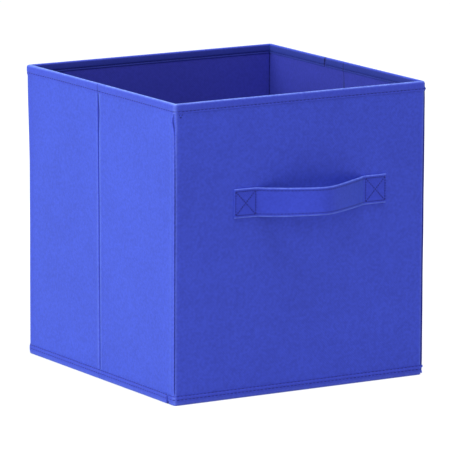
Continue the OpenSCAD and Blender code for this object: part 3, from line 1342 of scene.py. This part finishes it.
class RingStitching:
    """The seams that show on the walls and tapes, one piece for each stretch."""

    def __init__(self, walls: Walls, rim: RimTape, binding: BottomBinding) -> None:
        """Keeps the surfaces that are sewn."""
        self.walls, self.rim, self.binding = walls, rim, binding
        self.ring, self.shape = walls.ring, walls.shape

    def _tape_rows(self, threads: Threads, stretch: Stretch) -> None:
        """Sews the rows along both tapes."""
        rim, binding = self.rim.place(stretch), self.binding.place(stretch)
        rows = [
            (rim, self.rim.sewn_at),
            (rim, self.rim.across - self.rim.sewn_at),
            (binding, self.binding.sewn_at),
            (binding, self.binding.across - self.binding.sewn_at),
            (binding, self.binding.across - self.binding.second_at),
        ]
        for place, q in rows:
            threads.sew(place, (stretch.start, q), (stretch.end, q))

    def _upright_rows(self, threads: Threads, stretch: Stretch) -> None:
        """Sews the upright seam of a corner."""
        low, high = self.ring.binding_top + 0.5 * MM, self.ring.rim_low - 1 * MM
        place = self.walls.outer_place(stretch)
        for side in Side:
            toward = -1 if side.is_folding else 1
            s = self.ring.outline.corner_after(side) + toward * 0.8 * self.shape.seam_at
            if stretch.start < s < stretch.end:
                threads.sew(place, (s, low), (s, high))

    def _bar_tack(self, threads: Threads, stretch: Stretch) -> None:
        """Sews the short slanted stitches that lock the seam below the rim's front left corner."""
        place = self.walls.outer_place(stretch)
        corner = self.ring.outline.corner_after(Side.LEFT)
        top, foot = self.ring.rim_low - 0.4 * MM, self.ring.rim_low - 4.4 * MM
        points = [(corner + 3.2 * MM, top), (corner + 5.0 * MM, foot), (corner + 7.0 * MM, top)]
        for start, end in zip(points, points[1:]):
            threads.sew(place, start, end, pitch=2.2 * MM)

    def build(self, material: bpy.types.Material) -> None:
        """Sews every stretch.

        Args:
            material: The thread's finish.
        """
        for stretch in self.ring.stretches:
            threads = Threads()
            self._tape_rows(threads, stretch)
            self._upright_rows(threads, stretch)
            if stretch.name == "front_left_corner":
                self._bar_tack(threads, stretch)
            stretch.hold(threads.piece(f"{stretch.name}_stitching", material))
            log.info("stitching on %s", stretch.name)


class CornerPost:
    """The cloth roll on the front right corner's axis, which closes the corner as it folds."""

    steps = 20

    def __init__(self, ring: Ring, finishes: Finishes) -> None:
        """Keeps what the roll is built from."""
        self.ring, self.finishes = ring, finishes

    def build(self) -> None:
        """Spins the roll about the corner's axis and places it."""
        axis = Vector((-self.ring.hinge.x, -self.ring.hinge.y, 0))
        wall_r = self.ring.outline.half_w + self.ring.hinge.x - 0.05 * MM
        tape_r = wall_r + self.ring.tape_t
        low, rim, top = self.ring.binding_top, self.ring.rim_low, self.ring.top - 0.05 * MM
        profile = [(0.0, 0.1 * MM), (tape_r - 0.5 * MM, 0.1 * MM), (tape_r, 0.7 * MM),
                   (tape_r, low - 0.3 * MM), (wall_r, low), (wall_r, rim), (tape_r, rim + 0.4 * MM)]
        for index in range(7):
            turn = math.pi / 2 * index / 6
            profile.append((tape_r * math.cos(turn), top - tape_r * (1 - math.sin(turn))))
        bm = bmesh.new()
        verts = [bm.verts.new((axis.x + r, axis.y, z)) for r, z in profile]
        edges = [bm.edges.new(pair) for pair in zip(verts, verts[1:])]
        bmesh.ops.spin(bm, geom=verts + edges, cent=axis, axis=(0, 0, 1),
                       angle=2 * math.pi, steps=self.steps, use_merge=True)
        bmesh.ops.remove_doubles(bm, verts=bm.verts[:], dist=0.01 * MM)
        bmesh.ops.recalc_face_normals(bm, faces=bm.faces[:])
        keep_rest(bm)
        lay_pattern(bm, lambda vert: (vert.co.x + vert.co.y, vert.co.z))
        piece = finish_mesh(bm, "front_right_corner_roll", self.finishes.outer)
        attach(piece, "front_wall")
        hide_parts("front_right_corner_seam")
        log.info("corner roll: %.1f mm across", 2000 * tape_r)


# ---- Handle --------------------------------------------------------------------------------------


class Handle:
    """The strap handle: folded cloth with stitched edges, sewn down at both ends."""

    hem = 2.6 * MM
    hem_lift = 0.35 * MM
    edge_r = 0.7 * MM
    bow_round = 0.18
    box_inset = 2.4 * MM
    cross_pitch = 2.4 * MM
    cross_bold = 1.5
    edge_pitch = 2.8 * MM
    edge_bold = 1.2

    def __init__(self, finishes: Finishes) -> None:
        """Reads the strap's places from the frame."""
        self.finishes = finishes
        left_end, right_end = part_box("handle_left_end"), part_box("handle_right_end")
        self.ends = (left_end[0].x, right_end[1].x)
        self.sewn = (left_end[1].x, right_end[0].x)
        self.middle = (self.ends[0] + self.ends[1]) / 2
        self.low, self.high = left_end[0].z, left_end[1].z
        self.wall_y = left_end[1].y
        self.thick = left_end[1].y - left_end[0].y
        self.bow = self.wall_y - self.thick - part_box("handle_grip")[0].y
        self.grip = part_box("handle_grip")[1].x - self.middle
        self.swing = joint_place("handle_swing")

    @property
    def half_span(self) -> float:
        """Half the distance between the sewn ends."""
        return (self.sewn[1] - self.sewn[0]) / 2

    def stand_off(self, x: float) -> float:
        """The distance of the strap's back from the wall.

        Args:
            x: The position along the wall.

        Returns:
            The distance.
        """
        share = abs(x - self.middle) / self.half_span
        if share >= 1:
            return 0.0
        least = self.bow_round
        drop = (math.hypot(share, least) - least) / (math.hypot(1, least) - least)
        foot = smooth(1.0, 0.86, share)
        return self.bow * (1 - drop) * (0.55 + 0.45 * foot)

    def _section(self, sewn: float) -> list[tuple[float, float]]:
        """The strap's cross-section, as height from its middle and depth from its back.

        Args:
            sewn: From 0 on the free strap to 1 on a sewn end.

        Returns:
            Points round the section, starting at the lower back edge.
        """
        half = (self.high - self.low) / 2
        r = self.edge_r
        face = [-half + r, -half + self.hem * 0.55, -half + self.hem - 0.5 * MM, -half + self.hem,
                -half + self.hem + 0.5 * MM, -half + self.hem + 1.4 * MM]
        across = face + [-half * 0.45, 0.0, half * 0.45] + [-z for z in reversed(face)]
        points = []
        for z in across:
            inner = smooth(half - self.hem - 1.4 * MM, half - self.hem, abs(z))
            groove = 0.22 * MM * hump(abs(z), half - self.hem, 0.4 * MM)
            puff = 0.25 * MM * (1 - (z / half) ** 2) * (1 - sewn)
            points.append((z, self.thick - self.hem_lift * (1 - inner) + puff - groove))
        turns = (0.5, 1.0, math.pi / 2)
        rim = [(math.sin(a) * r, (1 - math.cos(a)) * r) for a in turns]
        top = [(half - r + dz, self.thick - dy) for dz, dy in rim]
        low_top = [(half - r + math.cos(a) * r, r - math.sin(a) * r) for a in turns]
        back = [(half * 0.5, 0.0), (-half * 0.5, 0.0)]
        foot = [(-z, y) for z, y in reversed(low_top)]
        start = [(-z, y) for z, y in reversed(top)]
        return start + points + top + low_top + back + foot

    def place(self, x: float, z: float, depth: float) -> Vector:
        """A point of the strap.

        Args:
            x: The position along the wall.
            z: The height above the strap's middle line.
            depth: The distance in front of the strap's back.

        Returns:
            The point.
        """
        step = 0.05 * MM
        slope = (self.stand_off(x + step) - self.stand_off(x - step)) / (2 * step)
        lean = Vector((slope, 1.0)).normalized()
        sag = -0.7 * MM * hump(x, self.middle - 38 * MM, 26 * MM)
        z *= 1 - 0.045 * hump(x, self.middle, 34 * MM)
        return Vector((x - lean.x * depth, self.wall_y - self.stand_off(x) - depth * lean.y,
                       (self.low + self.high) / 2 + z + sag))

    def _half(self, name: str, toward: int) -> bpy.types.Object:
        """Builds half of the strap, from its middle to its sewn end.

        Args:
            name: The piece's name.
            toward: -1 for the left half and 1 for the right one.

        Returns:
            The piece.
        """
        end = self.ends[1] - self.middle
        windows = [(0.0, 16 * MM, 1.0 * MM),
                   (self.half_span - 8 * MM, self.half_span + 2 * MM, 0.7 * MM)]
        xs = [self.middle + toward * d for d in stations(0.0, end, 2.5 * MM, windows)]
        bm = bmesh.new()
        flat = bm.verts.layers.float_vector.new("flat")
        worn_and_painted_light = bm.verts.layers.float.new("wear_and_painted_light")
        around = len(self._section(0.0))
        bmesh.ops.create_grid(bm, x_segments=len(xs) - 1, y_segments=around, size=0.5)
        bm.verts.ensure_lookup_table()
        for index, vert in enumerate(bm.verts):
            x = xs[index % len(xs)]
            row = index // len(xs) % around
            sewn = smooth(self.half_span - 2 * MM, self.half_span + 1 * MM, abs(x - self.middle))
            z, depth = self._section(sewn)[row]
            round_end = smooth(end, end - 0.8 * MM, abs(x - self.middle))
            vert.co = self.place(x, z, depth * (0.75 + 0.25 * round_end))
            vert[flat] = (x, z, 0)
            edge = abs(abs(z) - (self.high - self.low) / 2)
            # Lighter along the folded edges with scuffing and painted highlight, darker along the
            # hem stitching with painted shade.
            vert[worn_and_painted_light] = 0.6 * hump(edge, 0.0, 0.9 * MM) - 0.4 * hump(edge, self.hem, 0.5 * MM)
        bmesh.ops.remove_doubles(bm, verts=bm.verts[:], dist=0.001 * MM)
        open_edges = [edge for edge in bm.edges if edge.is_boundary]
        bmesh.ops.holes_fill(bm, edges=open_edges)
        bmesh.ops.recalc_face_normals(bm, faces=bm.faces[:])
        keep_rest(bm)
        lay_pattern(bm, lambda vert: vert[flat].xy)
        return finish_mesh(bm, name, self.finishes.strap)

    def _hold(self, piece: bpy.types.Object) -> None:
        """Bakes the placement of a piece of the strap into its mesh."""
        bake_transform(piece)

    def _face(self, x: float, z: float) -> Vector:
        """The strap's front face, for stitches."""
        return self.place(x, z, self.thick - 0.22 * MM)

    def _boxed_cross(self, threads: Threads, toward: int) -> None:
        """Sews the stitched square and its two diagonals on one end."""
        span = self.ends[1] - self.sewn[1]
        centre = self.middle + toward * (self.half_span + span / 2)
        half = span / 2 - self.box_inset / 2
        up = half + 0.4 * MM
        left, right = centre - half, centre + half
        corners = [(left, -up), (right, -up), (right, up), (left, up)]
        style = {"pitch": self.cross_pitch, "bold": self.cross_bold}

        def place(x: float, z: float) -> Vector:
            """The pressed face of the sewn end."""
            return self.place(x, z, self.thick - self.hem_lift * 0.75)

        threads.sew_round(place, corners, **style)
        for first, second in zip(corners[:2], corners[2:]):
            threads.sew(place, first, second, **style)

    def build(self) -> None:
        """Builds both halves and their stitching."""
        for word, toward in (("left", -1), ("right", 1)):
            piece = self._half(f"handle_strap_{word}_half", toward)
            self._hold(piece)
            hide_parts(f"handle_{word}_end", f"handle_{word}_arm", "handle_grip")
            edges = Threads()
            line = (self.high - self.low) / 2 - self.hem
            for z in (-line, line):
                near, far = self.middle, self.middle + toward * (self.half_span + 0.5 * MM)
                edges.sew(self._face, (min(near, far), z), (max(near, far), z),
                          pitch=self.edge_pitch, bold=self.edge_bold)
            self._hold(edges.piece(f"handle_{word}_edge_stitching", self.finishes.thread))
            cross = Threads()
            self._boxed_cross(cross, toward)
            stitches = cross.piece(f"handle_{word}_boxed_cross", self.finishes.thread)
            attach(stitches, "front_wall")
            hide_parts(f"handle_{word}_stitching")
            log.info("handle: %s half with its stitching", word)


# ---- Bottom --------------------------------------------------------------------------------------


class Bottom:
    """The cloth sewn across the bottom, and the loose base board in its cloth sleeve."""

    cloth_keep = 0.01
    cloth_t = 0.35 * MM
    sleeve_round = 1.3 * MM
    sewn_inset = 4 * MM

    def __init__(self, ring: Ring, finishes: Finishes) -> None:
        """Keeps what the pieces are built from."""
        self.ring, self.finishes = ring, finishes
        self.cloth_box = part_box("bottom_cloth")
        self.board_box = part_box("base_board_cover")

    def _cloth(self) -> None:
        """Builds the bottom cloth, with shallow waves that stay above the floor."""
        low, high = self.cloth_box
        marks = stations(low.x, high.x, 6 * MM)
        rows = stations(low.y, high.y, 6 * MM)

        def place(x: float, y: float) -> Vector:
            """The cloth's upper side."""
            wave = noise.noise(Vector((x, y, 0)) / (40 * MM))
            return Vector((x, y, high.z - 0.1 * MM + 0.08 * MM * wave))

        piece = cloth_patch(
            "bottom_cloth_sheet", marks, rows, place, self.cloth_t, self.finishes.outer)
        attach(piece, "back_wall")
        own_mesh(piece)
        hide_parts("bottom_cloth")
        log.info("bottom cloth: %.0f mm square", 1000 * (high.x - low.x))

    def _sleeve(self) -> None:
        """Builds the cloth sleeve of the base board: a slab with soft edges and a sewn border."""
        low, high = self.board_box
        bm = bmesh.new()
        bmesh.ops.create_cube(bm, size=1.0)
        bmesh.ops.scale(bm, vec=high - low, verts=bm.verts[:])
        bmesh.ops.translate(bm, vec=(low + high) / 2, verts=bm.verts[:])
        bmesh.ops.bevel(bm, geom=bm.edges[:], offset=self.sleeve_round, affect="EDGES",
                        segments=3, profile=0.5, material=-1)
        long_edges = [e for e in bm.edges if e.calc_length() > 0.1]
        bmesh.ops.subdivide_edges(bm, edges=long_edges, cuts=41, use_grid_fill=True)
        for vert in bm.verts:
            inside = min(high.x - abs(vert.co.x), high.y - abs(vert.co.y))
            if vert.co.z > high.z - 0.2 * MM:
                wave = noise.noise(vert.co / (38 * MM))
                vert.co.z -= (0.16 * MM + 0.12 * MM * wave) * smooth(0.0, 9 * MM, inside)
        keep_rest(bm)
        lay_pattern(bm, lambda vert: vert.co.xy)
        piece = finish_mesh(bm, "base_board_sleeve", self.finishes.lining)
        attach(piece, "base_board")
        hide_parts("base_board_cover")
        self._sleeve_seam(low, high)
        log.info("base board sleeve: %.0f mm square", 1000 * (high.x - low.x))

    def _sleeve_seam(self, low: Vector, high: Vector) -> None:
        """Sews the border of the sleeve."""
        threads = Threads()
        x0, x1 = low.x + self.sewn_inset, high.x - self.sewn_inset
        y0, y1 = low.y + self.sewn_inset, high.y - self.sewn_inset
        corners = [(x0, y0), (x1, y0), (x1, y1), (x0, y1)]

        def place(x: float, y: float) -> Vector:
            """The sleeve's upper side."""
            return Vector((x, y, high.z - 0.1 * MM))

        threads.sew_round(place, corners)
        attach(threads.piece("base_board_sleeve_stitching", self.finishes.thread), "base_board")

    def build(self) -> None:
        """Builds the bottom cloth and the sleeve."""
        self._cloth()
        self._sleeve()


class Boards:
    """The chipboards inside the walls and the base: their CAD solids, in a board finish."""

    def __init__(self, finishes: Finishes) -> None:
        """Keeps the board's finish."""
        self.finishes = finishes

    def dress(self) -> None:
        """Gives every board its finish."""
        for name, node in frame["nodes"].items():
            if name.endswith("_board") or name == "base_board_core":
                node.data.materials.clear()
                node.data.materials.append(self.finishes.board)
                log.info("chipboard finish on %s", name)


# ---- Studio --------------------------------------------------------------------------------------


@dataclass(frozen=True)
class Studio:
    """A pale floor, soft light from the left and above, and the camera."""

    azimuth: float = -31.508
    elevation: float = 10.618
    roll: float = 0.245
    distance: float = 4.720
    lens: float = 405.0
    target: tuple[float, float, float] = (0.00101, 0.0, 0.13212)
    floor_size: float = 16.0
    floor_gap: float = 0.3 * MM

    def _aim(self, thing: bpy.types.Object, at: Vector) -> None:
        """Turns a light or the camera towards a point."""
        thing.rotation_euler = (at - thing.location).to_track_quat("-Z", "Y").to_euler()

    def _light(self, name: str, place: tuple, size: float, watts: float, colour: tuple) -> None:
        """Adds one soft square light that points at the bin.

        Args:
            name: The light's name.
            place: Where it hangs.
            size: The length of its side.
            watts: Its power.
            colour: Its colour.
        """
        lamp = bpy.data.lights.new(name, "AREA")
        lamp.shape, lamp.size, lamp.energy, lamp.color = "SQUARE", size, watts, colour
        thing = bpy.data.objects.new(name, lamp)
        thing.location = place
        self._aim(thing, Vector(self.target))
        bpy.context.scene.collection.objects.link(thing)

    def _floor(self) -> None:
        """Adds the floor, just below the bin."""
        made, nodes = Nodes.start("pale_floor")
        place = nodes.add("ShaderNodeTexCoord").outputs["Object"]
        cloud = nodes.add("ShaderNodeTexNoise", {"Vector": place, "Scale": 3.0})
        colour = nodes.blend(cloud.outputs[0], (0.59, 0.59, 0.595, 1), (0.62, 0.62, 0.62, 1))
        seen = nodes.add("ShaderNodeLightPath").outputs["Is Camera Ray"]
        nodes.surface(Base_Color=colour, Roughness=0.8, Specular_IOR_Level=0.1,
                      Emission_Color=(1, 1, 1, 1),
                      Emission_Strength=nodes.spread(seen, 0.0, 1.0, 0.12, 0.6))
        bm = bmesh.new()
        bmesh.ops.create_grid(bm, x_segments=1, y_segments=1, size=self.floor_size / 2)
        bmesh.ops.translate(bm, vec=(0, 0, -self.floor_gap), verts=bm.verts[:])
        finish_mesh(bm, "studio_floor", made)

    def _world(self) -> None:
        """Sets the pale surroundings."""
        world = bpy.data.worlds.new("studio_surroundings")
        world.use_nodes = True
        nodes = Nodes(world.node_tree)
        shade = nodes.add("ShaderNodeBackground", {"Color": (1, 1, 1, 1), "Strength": 0.36})
        nodes.add("ShaderNodeOutputWorld", {"Surface": shade.outputs[0]})
        bpy.context.scene.world = world

    def _camera(self) -> None:
        """Places the camera."""
        lens = bpy.data.cameras.new("camera")
        lens.lens, lens.sensor_width = self.lens, 36.0
        lens.clip_start, lens.clip_end = 0.1, 100.0
        thing = bpy.data.objects.new("camera", lens)
        turn, rise = math.radians(self.azimuth), math.radians(self.elevation)
        back = Vector((math.sin(turn) * math.cos(rise), -math.cos(turn) * math.cos(rise),
                       math.sin(rise)))
        thing.location = Vector(self.target) + back * self.distance
        level = (-back).to_track_quat("-Z", "Y")
        thing.rotation_euler = (level @ Quaternion((0, 0, 1), math.radians(self.roll))).to_euler()
        bpy.context.scene.collection.objects.link(thing)
        bpy.context.scene.camera = thing

    def build(self) -> None:
        """Builds the studio."""
        scene = bpy.context.scene
        scene.view_settings.view_transform = "Standard"
        scene.view_settings.look = "None"
        self._world()
        self._floor()
        self._light("key", place=(-3.0, 0.2, 1.25), size=1.6, watts=93.0,
                    colour=(0.92, 1.0, 0.83))
        self._light("overhead", place=(-0.1, -0.9, 3.8), size=1.4, watts=86.0,
                    colour=(1.0, 1.0, 1.0))
        self._light("front", place=(-0.6, -3.0, 2.5), size=1.6, watts=20.0,
                    colour=(1.0, 1.0, 1.0))
        self._camera()
        log.info("studio: floor, lights and camera")


def main() -> None:
    """Builds the bin round its frame, piece by piece."""
    logging.basicConfig(level=logging.INFO, format="%(message)s")
    Studio().build()
    finishes = Finishes()
    ring = Ring()
    shape = WallShape(ring)
    walls = Walls(ring, shape, finishes)
    rim = RimTape(ring, shape, finishes)
    binding = BottomBinding(ring, shape, finishes)
    walls.build()
    rim.build()
    binding.build()
    RingStitching(walls, rim, binding).build(finishes.thread)
    CornerPost(ring, finishes).build()
    Handle(finishes).build()
    Bottom(ring, finishes).build()
    Boards(finishes).dress()


if __name__ == "__main__":
    main()
